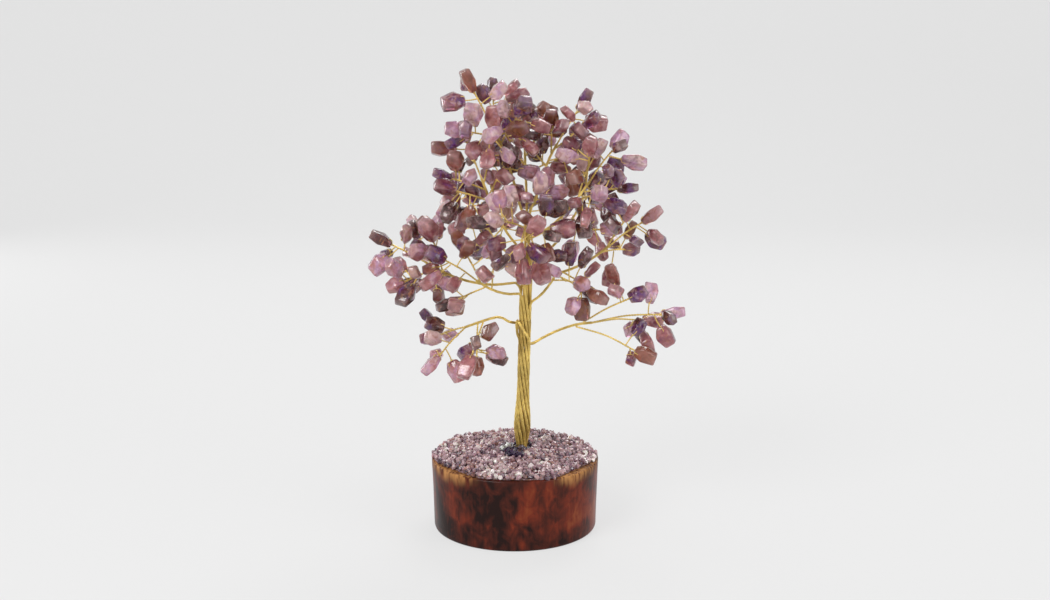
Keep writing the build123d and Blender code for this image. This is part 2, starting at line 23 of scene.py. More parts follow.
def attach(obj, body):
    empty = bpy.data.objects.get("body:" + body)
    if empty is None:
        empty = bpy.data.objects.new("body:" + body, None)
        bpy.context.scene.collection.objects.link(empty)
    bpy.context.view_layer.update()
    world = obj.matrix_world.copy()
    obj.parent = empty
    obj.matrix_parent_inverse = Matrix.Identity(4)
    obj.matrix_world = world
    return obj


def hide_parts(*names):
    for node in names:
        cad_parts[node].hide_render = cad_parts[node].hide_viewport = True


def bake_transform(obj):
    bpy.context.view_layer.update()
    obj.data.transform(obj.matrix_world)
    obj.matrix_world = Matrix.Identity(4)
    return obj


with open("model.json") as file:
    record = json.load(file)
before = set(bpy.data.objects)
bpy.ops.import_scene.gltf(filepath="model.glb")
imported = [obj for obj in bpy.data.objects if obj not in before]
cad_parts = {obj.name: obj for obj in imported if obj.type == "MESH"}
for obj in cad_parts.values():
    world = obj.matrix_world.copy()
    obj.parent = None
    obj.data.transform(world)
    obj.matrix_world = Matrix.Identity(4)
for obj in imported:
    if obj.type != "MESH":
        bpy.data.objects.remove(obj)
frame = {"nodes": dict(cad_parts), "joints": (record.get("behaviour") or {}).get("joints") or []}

MM = 0.001
UP = Vector((0.0, 0.0, 1.0))
STONE_COLOUR = "stone"
PALEST = 1.0
# Vertices nearer than this are joined.
JOIN_DISTANCE = 0.0005 * MM
# Cosine between the normals of faces that are flat together.
FLAT_COSINE = 0.9999
# A side carried along a line is chosen anew below this length.
LEAST_SIDE = 0.1
# Numbers of a Mix node's colour sockets.
MIX_COLOURS = (6, 7)
MIX_RESULT = 2
Colour = tuple[float, float, float]
Place = tuple[float, float, float]
Stops = tuple[tuple[float, Colour], ...]
Range = tuple[float, float]
Points = list[Vector]
Wires = list[tuple[Points, float]]

log = logging.getLogger("gemstone_tree")


class Slot(Enum):
    """Material slots of the part's record."""

    WOOD = "lacquered_wood"
    GLUE = "bed_glue"
    GRAVEL = "gravel"
    FOOT = "dark_chips"
    WIRE = "brass_wire"
    STONE = "stone_chips"


class Body(Enum):
    """Bodies of the part that pieces ride on."""

    TREE = "tree"
    LOW_RIGHT = "low_right_branch"
    LOW_LEFT = "low_left_branch"


class Edge(Enum):
    """Angle above which the faces of a piece meet in a sharp edge in shading."""

    SOFT = math.radians(180.0)
    TUMBLED = math.radians(50.0)
    BROKEN = math.radians(18.0)


class Signal:
    """A shader socket that can stand in sums, differences and products."""

    def __init__(self, graph: "Graph", socket: bpy.types.NodeSocket) -> None:
        """Wraps an output socket of a graph."""
        self.graph = graph
        self.socket = socket

    def _math(self, operation: str, first: "Value", second: "Value") -> "Signal":
        """Adds a Math node on two values and returns its result."""
        return self.graph.node("ShaderNodeMath", {"operation": operation}, {0: first, 1: second})

    def __add__(self, other: "Value") -> "Signal":
        """Sum."""
        return self._math("ADD", self, other)

    def __radd__(self, other: "Value") -> "Signal":
        """Sum with a number on the left."""
        return self._math("ADD", other, self)

    def __sub__(self, other: "Value") -> "Signal":
        """Difference."""
        return self._math("SUBTRACT", self, other)

    def __rsub__(self, other: "Value") -> "Signal":
        """Difference with a number on the left."""
        return self._math("SUBTRACT", other, self)

    def __mul__(self, other: "Value") -> "Signal":
        """Product."""
        return self._math("MULTIPLY", self, other)

    def at_least(self, other: "Value") -> "Signal":
        """The larger of two values."""
        return self._math("MAXIMUM", self, other)


Value = Union[Signal, float, tuple[float, ...], Vector]


class Graph:
    """The node graph of a material or of the world, with one method that adds any node."""

    def __init__(self, name: str, of_world: bool = False) -> None:
        """Makes an empty material or world.

        Args:
            name: Its name.
            of_world: Whether it is a world.
        """
        self.owner = (bpy.data.worlds if of_world else bpy.data.materials).new(name)
        self.owner.use_nodes = True
        self.output = "ShaderNodeOutputWorld" if of_world else "ShaderNodeOutputMaterial"
        self.tree = self.owner.node_tree
        self.tree.nodes.clear()

    def node(self, kind: str, settings: dict, inputs: dict, output: Union[int, str] = 0) -> Signal:
        """Adds a node.

        Args:
            kind: The node's type.
            settings: Its settings, and for a ramp its stops.
            inputs: Values or signals of its sockets, by name or number.
            output: Name or number of the socket that is returned.

        Returns:
            The output socket as a signal.
        """
        made = self.tree.nodes.new(kind)
        for name, value in settings.items():
            if name == "stops":
                self._set_stops(made.color_ramp, value)
            else:
                setattr(made, name, value)
        for key, value in inputs.items():
            if isinstance(value, Signal):
                self.tree.links.new(value.socket, made.inputs[key])
            else:
                made.inputs[key].default_value = value
        return Signal(self, made.outputs[output])

    def _set_stops(self, ramp: bpy.types.ColorRamp, stops: Stops) -> None:
        """Gives a colour ramp its stops.

        Args:
            ramp: The ramp of a new node.
            stops: Places from 0 to 1 and their colours.
        """
        while len(ramp.elements) < len(stops):
            ramp.elements.new(1.0)
        for element, (place, colour) in zip(ramp.elements, stops):
            element.position = place
            element.color = (*colour, 1.0)

    def place(self) -> Signal:
        """Object coordinates."""
        return self.node("ShaderNodeTexCoord", {}, {}, "Object")

    def stretched(self, scale: Sequence[float]) -> Signal:
        """Object coordinates stretched along the axes."""
        return self.node("ShaderNodeMapping", {}, {"Vector": self.place(), "Scale": Vector(scale)})

    def noise(self, place: Signal, scale: float, detail: float = 3.0, distortion: float = 0.0) -> Signal:
        """Cloudy noise from 0 to 1 at a number of waves to the metre."""
        sizes = {"Vector": place, "Scale": scale, "Detail": detail, "Distortion": distortion}
        return self.node("ShaderNodeTexNoise", {}, sizes)

    def part(self, axis: str) -> Signal:
        """One of the object coordinates."""
        return self.node("ShaderNodeSeparateXYZ", {}, {0: self.place()}, axis)

    def stone(self, channel: str) -> Signal:
        """One channel of the colour that the mesh of the stones holds."""
        colour = self.node("ShaderNodeAttribute", {"attribute_name": STONE_COLOUR}, {}, "Color")
        return self.node("ShaderNodeSeparateColor", {}, {0: colour}, channel)

    def ramp(self, value: Signal, stops: Stops) -> Signal:
        """Colour that follows a value."""
        return self.node("ShaderNodeValToRGB", {"stops": stops}, {0: value})

    def band(self, value: Signal, low: float, high: float) -> Signal:
        """Value that rises from 0 to 1 between two limits, or falls where low is above high."""
        limits = {0: value, 1: low, 2: high}
        return self.node("ShaderNodeMapRange", {"interpolation_type": "SMOOTHSTEP"}, limits)

    def mix(self, share: Value, first: Value, second: Value, blend: str = "MIX") -> Signal:
        """Mixes two colours by the share of the second one."""
        colours = [c if isinstance(c, Signal) else (*c, 1.0) for c in (first, second)]
        return self.node("ShaderNodeMix", {"data_type": "RGBA", "blend_type": blend},
                         {0: share, **dict(zip(MIX_COLOURS, colours))}, MIX_RESULT)

    def bump(self, height: Signal, strength: float, distance: float) -> Signal:
        """Surface normals from a height."""
        sizes = {"Strength": strength, "Distance": distance, "Height": height}
        return self.node("ShaderNodeBump", {}, sizes, "Normal")

    def finish(self, sockets: dict) -> Material:
        """Links the surface shader with values or signals in its sockets, and returns the material."""
        self.show(self.node("ShaderNodeBsdfPrincipled", {}, sockets))
        return self.owner

    def show(self, shader: Signal) -> None:
        """Links a shader to the output."""
        out = self.tree.nodes.new(self.output)
        self.tree.links.new(shader.socket, out.inputs["Surface"])


@dataclass(frozen=True)
class LacqueredWood:
    """Dark red-brown wood with black and orange streaks under a glossy lacquer, bare at the worn rim."""

    dark: Colour = (0.016, 0.006, 0.005)
    brown: Colour = (0.060, 0.013, 0.008)
    red: Colour = (0.14, 0.022, 0.010)
    orange: Colour = (0.25, 0.062, 0.020)
    bare: Colour = (0.46, 0.22, 0.075)
    tone_places: tuple[float, ...] = (0.38, 0.50, 0.63, 0.84)
    tone_shift: float = 0.25
    figure_scale: float = 190.0
    fibre_scale: float = 900.0
    patch_scale: float = 46.0
    swirl: float = 0.8
    rim_height: float = 32.0 * MM
    rim_depth: float = 7.0 * MM
    rim_waver: float = 1.6
    worn_from: float = 14.0 * MM
    worn_to: float = 21.0 * MM
    bare_band: Range = (0.42, 0.62)
    roughness: float = 0.28
    worn_roughness: float = 0.25
    coat: float = 0.12
    worn_coat: float = 0.08
    relief: Range = (0.35, 0.25 * MM)

    def material(self) -> Material:
        """Builds the material.

        Returns:
            The material.
        """
        graph = Graph("lacquered_wood")
        figure = graph.noise(graph.stretched((1.0, 1.0, 0.7)), self.figure_scale, 7.0, self.swirl)
        fibre = graph.noise(graph.stretched((1.0, 1.0, 0.1)), self.fibre_scale, 4.0)
        patch = graph.noise(graph.stretched((1.0, 1.0, 0.8)), self.patch_scale, 3.0, self.swirl)
        tone = figure * 0.55 + fibre * 0.15 + patch * 0.8 - self.tone_shift
        colours = (self.dark, self.brown, self.red, self.orange)
        colour = graph.ramp(tone, tuple(zip(self.tone_places, colours)))
        across, depth, height = (graph.part(axis) for axis in "XYZ")
        rim_top = self.rim_height + self.rim_depth
        near_rim = graph.band(height + patch * self.rim_depth * self.rim_waver, self.rim_height, rim_top)
        both_sides = graph.band(across * across, self.worn_from ** 2, self.worn_to ** 2)
        worn = near_rim * both_sides * graph.band(depth, 0.0, -self.worn_from)
        bare = graph.mix(graph.band(fibre * 0.6 + figure * 0.4, *self.bare_band), self.bare, self.brown)
        colour = graph.mix(worn, colour, bare)
        return graph.finish({
            "Base Color": colour,
            "Roughness": self.roughness + worn * self.worn_roughness + figure * 0.1,
            "Specular IOR Level": 0.06,
            "Coat Weight": self.coat - worn * self.worn_coat,
            "Coat Roughness": 0.10,
            "Normal": graph.bump(fibre * 0.5 + figure, *self.relief),
        })


@dataclass(frozen=True)
class CraftGlue:
    """Hardened amber glue with fine stone dust in it."""

    amber: Colour = (0.16, 0.085, 0.05)
    dust: Colour = (0.30, 0.20, 0.25)
    dust_scale: float = 1400.0
    dust_band: Range = (0.4, 0.62)
    roughness: float = 0.22
    dust_roughness: float = 0.3
    relief: Range = (0.6, 0.3 * MM)

    def material(self) -> Material:
        """Builds the material.

        Returns:
            The material.
        """
        graph = Graph("craft_glue")
        grains = graph.noise(graph.place(), self.dust_scale, 2.0)
        colour = graph.mix(graph.band(grains, *self.dust_band), self.amber, self.dust)
        return graph.finish({
            "Base Color": colour,
            "Roughness": self.roughness + grains * self.dust_roughness,
            "Normal": graph.bump(grains, *self.relief),
        })


@dataclass(frozen=True)
class Stone:
    """Polished or broken quartz-like stone whose colour differs from stone to stone and clouds within each.

    The mesh holds a colour named stone: red is the place on the palette, green the cloudiness, and blue how
    pale a point is. A tumbled chip is painted paler towards its tips, as painted light where thin stone would
    let light through; a broken stone is all alike, its paleness a tone at random.
    """

    name: str
    palette: Stops
    cloud_and_tip_light_colour: Colour = (0.84, 0.60, 0.58)
    cloud_band: Range = (0.46, 0.68)
    cloud_share: float = 0.48
    smoke: Colour = (0.13, 0.034, 0.018)
    smoke_band: Range = (0.50, 0.68)
    smoke_share: float = 0.7
    amber: Colour = (0.50, 0.20, 0.05)
    amber_band: Range = (0.44, 0.30)
    amber_share: float = 0.6
    rust: Colour = (0.36, 0.13, 0.045)
    rust_band: Range = (0.16, 0.10)
    rust_share: float = 0.6
    # Painted light: how strongly the tips of a tumbled chip are painted paler; on a broken stone, a paleness
    # at random.
    paleness_and_tip_light_band: Range = (0.72, 1.0)
    paleness_and_tip_light_share: float = 0.32
    shades: Stops = ((0.3, (0.5, 0.46, 0.5)), (0.6, (1.0, 1.0, 1.0)))
    shade_share: float = 0.5
    vein_scale: float = 420.0
    zoning: float = 0.8
    roughness: float = 0.07
    grain_roughness: float = 0.10
    see_through: float = 0.55
    glow: float = 0.3
    relief: Range = (0.35, 0.12 * MM)

    def material(self) -> Material:
        """Builds the material.

        Returns:
            The material.
        """
        graph = Graph(self.name)
        place = graph.place()
        kind = graph.stone("Red")
        cloudiness = graph.stone("Green")
        body = graph.noise(place, self.vein_scale, 3.0, 0.6)
        zone = graph.noise(place, self.vein_scale * 0.45, 2.0, 0.3)
        haze = graph.noise(place, self.vein_scale * 0.7, 3.0, 1.2)
        grain = graph.noise(place, self.vein_scale * 5.0, 2.0)
        colour = graph.ramp(kind + (zone - 0.5) * self.zoning, self.palette)
        smoke = graph.band(haze, *self.smoke_band) * (1.0 - cloudiness) * self.smoke_share
        colour = graph.mix(smoke, colour, self.smoke)
        colour = graph.mix(graph.band(haze, *self.amber_band) * self.amber_share, colour, self.amber)
        colour = graph.mix(graph.band(cloudiness, *self.rust_band) * self.rust_share, colour, self.rust)
        clouds = graph.band(body, *self.cloud_band) * cloudiness * self.cloud_share
        colour = graph.mix(clouds, colour, self.cloud_and_tip_light_colour)
        # Painted light: tumbled chips are painted in the cloud colour towards their tips, standing in for
        # light through thin stone; broken stones get a paleness at random.
        rim = graph.band(graph.stone("Blue"), *self.paleness_and_tip_light_band) * self.paleness_and_tip_light_share
        colour = graph.mix(rim, colour, self.cloud_and_tip_light_colour)
        colour = graph.mix(self.shade_share, colour, graph.ramp(body, self.shades), "MULTIPLY")
        return graph.finish({
            "Base Color": colour,
            "Roughness": self.roughness + grain * self.grain_roughness,
            "IOR": 1.54,
            "Transmission Weight": self.see_through,
            "Subsurface Weight": self.glow,
            "Subsurface Radius": (1.0, 0.6, 1.0),
            "Subsurface Scale": 1.6 * MM,
            "Coat Weight": 0.15,
            "Coat Roughness": 0.05,
            "Normal": graph.bump(body + grain * 0.25, *self.relief),
        })


@dataclass(frozen=True)
class BrassWire:
    """Gold-coloured drawn wire, a little darker in patches, with fine drawing marks."""

    bright: Colour = (0.93, 0.71, 0.22)
    deep: Colour = (0.60, 0.43, 0.12)
    patch_scale: float = 160.0
    patch_band: Range = (0.35, 0.68)
    mark_scale: float = 2600.0
    metallic: float = 0.64
    roughness: float = 0.25
    patch_roughness: float = 0.14
    mark_roughness: float = 0.08
    relief: Range = (0.15, 0.05 * MM)

    def material(self) -> Material:
        """Builds the material.

        Returns:
            The material.
        """
        graph = Graph("brass_wire")
        patches = graph.noise(graph.place(), self.patch_scale, 3.0)
        marks = graph.noise(graph.stretched((1.0, 1.0, 0.2)), self.mark_scale, 2.0)
        colour = graph.mix(graph.band(patches, *self.patch_band), self.deep, self.bright)
        return graph.finish({
            "Base Color": colour,
            "Metallic": self.metallic,
            "Roughness": self.roughness + patches * self.patch_roughness + marks * self.mark_roughness,
            "Normal": graph.bump(marks, *self.relief),
        })


PLUM_TO_LILAC = (
    (0.0, (0.065, 0.013, 0.012)),
    (0.14, (0.13, 0.028, 0.028)),
    (0.25, (0.15, 0.034, 0.23)),
    (0.35, (0.24, 0.058, 0.10)),
    (0.54, (0.46, 0.150, 0.165)),
    (0.70, (0.64, 0.27, 0.28)),
    (0.85, (0.68, 0.41, 0.63)),
    (1.0, (0.92, 0.66, 0.62)),
)
DARK_FOOT = (
    (0.0, (0.012, 0.010, 0.024)),
    (0.4, (0.045, 0.025, 0.085)),
    (0.7, (0.16, 0.09, 0.20)),
    (1.0, (0.62, 0.64, 0.56)),
)
GRAVEL_MIX = (
    (0.0, (0.05, 0.028, 0.055)),
    (0.2, (0.14, 0.075, 0.11)),
    (0.5, (0.32, 0.19, 0.22)),
    (0.8, (0.50, 0.34, 0.36)),
    (1.0, (0.82, 0.76, 0.72)),
)


def add_object(bm: BMesh, name: str, material: Material) -> Object:
    """Makes a smoothly shaded object from a bmesh, which is freed.

    Args:
        bm: The shape, in place.
        name: Name of the object.
        material: Its material.

    Returns:
        The object.
    """
    mesh = bpy.data.meshes.new(name)
    bm.to_mesh(mesh)
    bm.free()
    mesh.polygons.foreach_set("use_smooth", [True] * len(mesh.polygons))
    mesh.materials.append(material)
    made = bpy.data.objects.new(name, mesh)
    bpy.context.scene.collection.objects.link(made)
    return made


def piece_from(bm: BMesh, name: str, material: Material, body: Optional[Body],
               edge: Edge = Edge.SOFT) -> Object:
    """Makes a piece of the object from a bmesh, which is freed.

    Args:
        bm: The shape, in place.
        name: Name of the piece.
        material: Its material.
        body: The body that it rides on, or None where it is left on no body.
        edge: How its faces meet in shading.

    Returns:
        The piece.
    """
    piece = add_object(bm, name, material)
    if edge is not Edge.SOFT:
        piece.data.set_sharp_from_angle(angle=edge.value)
    if body is not None:
        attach(piece, body.value)
    log.info("%s: %d faces", name, len(piece.data.polygons))
    return piece


def stone_mesh() -> BMesh:
    """Makes an empty mesh that can hold the colours of stones.

    Returns:
        The mesh.
    """
    bm = bmesh.new()
    bm.verts.layers.float_color.new(STONE_COLOUR)
    return bm


def merged_copy(node: str) -> BMesh:
    """Copies a node's mesh with its loose triangles joined.

    Args:
        node: Name of the node.

    Returns:
        The copy.
    """
    bm = bmesh.new()
    bm.from_mesh(frame["nodes"][node].data)
    bmesh.ops.remove_doubles(bm, verts=bm.verts, dist=JOIN_DISTANCE)
    return bm


def islands(bm: BMesh) -> list[list[BMVert]]:
    """Groups the vertices of a mesh into its separate solids.

    Args:
        bm: The mesh.

    Returns:
        One list of vertices for each solid.
    """
    seen: set[BMVert] = set()
    groups = []
    for seed in bm.verts:
        if seed in seen:
            continue
        seen.add(seed)
        group, edge_of = [seed], [seed]
        while edge_of:
            for link in edge_of.pop().link_edges:
                for vert in link.verts:
                    if vert not in seen:
                        seen.add(vert)
                        group.append(vert)
                        edge_of.append(vert)
        groups.append(group)
    return groups


def centre_of(points: Sequence[Vector]) -> Vector:
    """Middle of some points."""
    return sum(points, Vector()) / len(points)


def smooth_line(knots: Points, step: float) -> Points:
    """A smooth line through knots, as points about a step apart.

    Args:
        knots: The points that the line passes through.
        step: Distance between the points of the line.

    Returns:
        The points of the line.
    """
    line = []
    padded = [knots[0] * 2.0 - knots[1], *knots, knots[-1] * 2.0 - knots[-2]]
    for before, start, end, after in zip(padded, padded[1:], padded[2:], padded[3:]):
        count = max(1, round((end - start).length / step))
        for number in range(count):
            t = number / count
            line.append(0.5 * (
                2.0 * start + (end - before) * t + (2.0 * before - 5.0 * start + 4.0 * end - after) * t ** 2
                + (3.0 * start - before - 3.0 * end + after) * t ** 3
            ))
    line.append(knots[-1].copy())
    return line


def carried_sides(line: Points) -> list[tuple[Vector, Vector]]:
    """Two directions square to a line at each of its points, carried along without turning about it.

    Args:
        line: The points of the line.

    Returns:
        The two directions at each point.
    """
    sides = []
    side = Vector((1.0, 0.0, 0.0))
    for number in range(len(line)):
        along = (line[min(number + 1, len(line) - 1)] - line[max(number - 1, 0)]).normalized()
        side = side - along * side.dot(along)
        if side.length < LEAST_SIDE:
            side = along.orthogonal()
        side.normalize()
        sides.append((side.copy(), along.cross(side)))
    return sides


@dataclass(frozen=True)
class WireRope:
    """Wires of one gauge twisted about a line."""

    wires: int
    lay_radius: float
    wire_radius: float
    pitch: float
    points_per_turn: int = 9

    def lines(self, knots: Points, phase: float, sizes: Optional[Sequence[float]] = None) -> Wires:
        """Lines of the twisted wires.

        Args:
            knots: Points of the line that they twist about.
            phase: Turn of the first wire at the start.
            sizes: Size of the rope at each knot, as a share of its usual one.

        Returns:
            The wires.
        """
        line = smooth_line(knots, self.pitch / self.points_per_turn)
        sides = carried_sides(line)
        made: list[Points] = [[] for _ in range(self.wires)]
        travelled = 0.0
        for number, (point, (first, second)) in enumerate(zip(line, sides)):
            if number:
                travelled += (point - line[number - 1]).length
            share = 1.0
            if sizes is not None:
                place = number / max(len(line) - 1, 1) * (len(sizes) - 1)
                low = min(int(place), len(sizes) - 2)
                share = sizes[low] + (sizes[low + 1] - sizes[low]) * (place - low)
            for wire in range(self.wires):
                turn = phase + math.tau * (travelled / self.pitch + wire / self.wires)
                offset = first * math.cos(turn) + second * math.sin(turn)
                made[wire].append(point + offset * self.lay_radius * share)
        return [(wire_line, self.wire_radius) for wire_line in made]


def round_wire(wires: Wires) -> BMesh:
    """Makes round wire along lines.

    Args:
        wires: The line and the radius of each wire.

    Returns:
        The wires as one bmesh.
    """
    curve = bpy.data.curves.new("lines", "CURVE")
    curve.dimensions = "3D"
    curve.bevel_depth = 1.0
    curve.bevel_resolution = 1
    curve.use_fill_caps = True
    for line, radius in wires:
        spline = curve.splines.new("POLY")
        spline.points.add(len(line) - 1)
        for point, place in zip(spline.points, line):
            point.co = (*place, 1.0)
            point.radius = radius
    holder = bpy.data.objects.new("lines", curve)
    bm = bmesh.new()
    bm.from_mesh(bpy.data.meshes.new_from_object(holder))
    bpy.data.objects.remove(holder)
    bpy.data.curves.remove(curve)
    bmesh.ops.recalc_face_normals(bm, faces=bm.faces)
    return bm


@dataclass
class WoodBlock:
    """The round block of wood, a little uneven as a piece of branch is."""

    radius: float = 37.5 * MM
    foot_radius: float = 36.6 * MM
    height: float = 32.0 * MM
    foot_round: float = 1.4 * MM
    rim_round: float = 0.9 * MM
    corner_steps: int = 4
    side_steps: int = 12
    segments: int = 144
    seam: float = 0.001 * MM
    unevenness: float = 0.12 * MM
    dent_scale: float = 90.0
    finish: LacqueredWood = LacqueredWood()

    def profile(self) -> Points:
        """Half section of the block.

        Returns:
            Its points, from the middle of the foot to the middle of the top.
        """
        points = [Vector((0.0, 0.0, 0.0))]
        points += self.corner(self.foot_radius - self.foot_round, self.foot_round, self.foot_round, -90.0)
        straight = self.height - self.foot_round - self.rim_round
        for step in range(1, self.side_steps):
            share = step / self.side_steps
            radius = self.foot_radius + (self.radius - self.foot_radius) * share
            points.append(Vector((radius, 0.0, self.foot_round + straight * share)))
        points += self.corner(self.radius - self.rim_round, self.height - self.rim_round, self.rim_round, 0.0)
        points.append(Vector((0.0, 0.0, self.height)))
        return points

    def corner(self, x: float, z: float, size: float, start: float) -> Points:
        """A rounded corner of the half section about a point, from a start in degrees."""
        turns = [math.radians(start + 90.0 * step / self.corner_steps)
                 for step in range(self.corner_steps + 1)]
        return [Vector((x + size * math.cos(turn), 0.0, z + size * math.sin(turn))) for turn in turns]

    def build(self) -> None:
        """Builds the block and lets it stand for the part's solid."""
        bm = bmesh.new()
        verts = [bm.verts.new(point) for point in self.profile()]
        edges = [bm.edges.new(pair) for pair in zip(verts, verts[1:])]
        bmesh.ops.spin(bm, geom=verts + edges, axis=UP, cent=(0.0, 0.0, 0.0), angle=math.tau,
                       steps=self.segments, use_merge=True)
        bmesh.ops.remove_doubles(bm, verts=bm.verts, dist=self.seam)
        bmesh.ops.recalc_face_normals(bm, faces=bm.faces)
        for vert in bm.verts:
            if vert.co.z > self.foot_round / 2.0 and vert.co.xy.length > self.radius / 2.0:
                dent = (noise.noise(vert.co * self.dent_scale) - 1.0) * self.unevenness
                vert.co.xy = vert.co.xy.normalized() * (vert.co.xy.length + dent)
        piece = piece_from(bm, "wood_block", self.finish.material(), Body.TREE, Edge.TUMBLED)
        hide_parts("wood_base")


@dataclass
class StoneBed:
    """The glue on the block, the gravel all over it and the larger stones at the foot of the trunk.

    Each group of those is told by its count, turns in degrees, reaches and half sizes in millimetres, and
    its tones, or None where it is pale.
    """

    foot: float = 32.05 * MM
    edge_radius: float = 35.9 * MM
    edge_waver: float = 0.027
    edge_thickness: float = 0.7 * MM
    edge_segments: int = 96
    bare_turns: Range = (math.radians(-143.0), math.radians(-36.0))
    bare_width: float = math.radians(26.0)
    bare_depth: float = 2.4 * MM
    crown_height: float = 2.4 * MM
    plateau_share: float = 0.16
    ring_count: int = 6
    ring_share: float = 0.13
    lump_height: float = 0.15 * MM
    lump_scale: float = 300.0
    trunk_x: float = 3.0 * MM
    trunk_radius: float = 2.4 * MM
    stretch: Range = (0.75, 1.2)
    chipping: Range = (-0.28, 0.12)
    gravel_count: int = 950
    gravel_sizes: Range = (0.95 * MM, 1.75 * MM)
    gravel_overhang: float = 0.7 * MM
    gravel_jitter: Range = (-0.5 * MM, 0.5 * MM)
    gravel_lift: Range = (0.1 * MM, 0.8 * MM)
    gravel_tones: tuple[Range, ...] = ((0.0, 0.4), (0.35, 0.8), (0.45, 1.0))
    patch_scale: float = 70.0
    patch_depth: float = 0.5
    pale_every: int = 130
    pale_sizes: Range = (1.8 * MM, 2.4 * MM)
    foot_groups: tuple[tuple[int, Range, Range, Range, Optional[Range]], ...] = (
        (14, (-180.0, 180.0), (0.6, 2.0), (1.0, 1.7), (0.0, 0.8)),
        (24, (-140.0, -92.0), (4.0, 10.0), (1.5, 2.6), (0.0, 0.6)),
        (4, (-166.459, -143.541), (4.0, 10.0), (1.5, 2.6), None),
    )
    foot_lift: Range = (0.9 * MM, 2.0 * MM)
    glue: CraftGlue = CraftGlue()

    def edge(self, turn: float) -> float:
        """Radius of the glue's uneven edge, less where the rim of the wood is bare.

        Args:
            turn: Direction from the middle.

        Returns:
            The radius.
        """
        wave = 0.45 * math.sin(3.0 * turn + 0.7) + 0.35 * math.sin(7.0 * turn) - 0.2 * math.cos(5.0 * turn)
        bare = 0.0
        for middle in self.bare_turns:
            away = (turn - middle + math.pi) % math.tau - math.pi
            bare = max(bare, math.cos(min(abs(away) / self.bare_width, 1.0) * math.pi / 2.0))
        return self.edge_radius * (1.0 - self.edge_waver * wave) - self.bare_depth * bare

    def top(self, x: float, y: float) -> float:
        """Height of the glue's top at a place.

        Args:
            x: Place to the right.
            y: Place to the back.

        Returns:
            The height.
        """
        edge = self.edge(math.atan2(y, x))
        share = (edge - math.hypot(x, y)) / (edge * (1.0 - self.plateau_share))
        return self.foot + self.edge_thickness + self.crown_height * max(0.0, min(share, 1.0))

    def build_glue(self) -> None:
        """Builds the poured glue with its uneven edge."""
        bm = bmesh.new()
        bmesh.ops.create_circle(bm, cap_ends=True, radius=self.edge_radius, segments=self.edge_segments)
        for _ in range(self.ring_count):
            inner = max(bm.faces, key=lambda face: len(face.verts))
            bmesh.ops.inset_region(bm, faces=[inner], thickness=self.edge_radius * self.ring_share)
        for vert in bm.verts:
            x, y, _ = vert.co
            spread = self.edge(math.atan2(y, x)) / self.edge_radius
            lump = self.lump_height * noise.noise(Vector((x, y, 0.0)) * self.lump_scale)
            vert.co = Vector((x * spread, y * spread, self.top(x * spread, y * spread) + lump))
        rim = [edge for edge in bm.edges if edge.is_boundary]
        walls = bmesh.ops.extrude_edge_only(bm, edges=rim)["geom"]
        for vert in [item for item in walls if isinstance(item, BMVert)]:
            vert.co.z = self.foot
        bmesh.ops.contextual_create(bm, geom=[edge for edge in bm.edges if edge.is_boundary])
        bmesh.ops.recalc_face_normals(bm, faces=bm.faces)
        piece = piece_from(bm, "glue_bed", self.glue.material(), Body.TREE, Edge.TUMBLED)
        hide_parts("gravel_glue")
        frame["nodes"]["socket_glue"].data.materials.clear()
        frame["nodes"]["socket_glue"].data.materials.append(piece.data.materials[0])

    def scatter(self, bm: BMesh, place: Vector, sizes: Range, dice: Random, tone: float) -> None:
        """Adds one broken stone with its own size, turn, angles and colour.

        Args:
            bm: The mesh that it is added to.
            place: Its middle.
            sizes: The least and the greatest half size.
            dice: Source of its accidents.
            tone: Its place on the palette.
        """
        turn = Matrix.LocRotScale(
            place,
            Vector([dice.uniform(-1.0, 1.0) for _ in range(3)]).to_track_quat("Z", "Y"),
            Vector([dice.uniform(*self.stretch) * dice.uniform(*sizes) for _ in range(3)]),
        )
        made = bmesh.ops.create_icosphere(bm, subdivisions=1, radius=1.0, matrix=turn)["verts"]
        tint = bm.verts.layers.float_color[STONE_COLOUR]
        colour = (tone, dice.random(), dice.random(), 1.0)
        for vert in made:
            vert.co += (vert.co - place) * dice.uniform(*self.chipping)
            vert[tint] = colour

    def build_gravel(self) -> None:
        """Builds the gravel, close together in a jittered sunflower pattern."""
        dice = Random(11)
        bm = stone_mesh()
        golden = math.pi * (3.0 - math.sqrt(5.0))
        for number in range(self.gravel_count):
            turn = number * golden
            reach = self.edge(turn) + self.gravel_overhang
            distance = reach * math.sqrt((number + 0.5) / self.gravel_count)
            x = distance * math.cos(turn) + dice.uniform(*self.gravel_jitter)
            y = distance * math.sin(turn) + dice.uniform(*self.gravel_jitter)
            if math.hypot(x - self.trunk_x, y) < self.trunk_radius:
                continue
            place = Vector((x, y, self.top(x, y) + dice.uniform(*self.gravel_lift)))
            tone = dice.choice([dice.uniform(*tones) for tones in self.gravel_tones])
            tone += self.patch_depth * noise.noise(Vector((x, y, 0.0)) * self.patch_scale)
            if number % self.pale_every == self.pale_every // 2:
                self.scatter(bm, place, self.pale_sizes, dice, PALEST)
            else:
                self.scatter(bm, place, self.gravel_sizes, dice, tone)
        stone = Stone("gravel_stone", GRAVEL_MIX, vein_scale=700.0, roughness=0.22, cloud_share=0.3,
                      zoning=0.4, rust_share=0.25, see_through=0.12, relief=(0.35, 0.05 * MM))
        piece = piece_from(bm, "gravel", stone.material(), Body.TREE, Edge.BROKEN)
        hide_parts("gravel_chips")

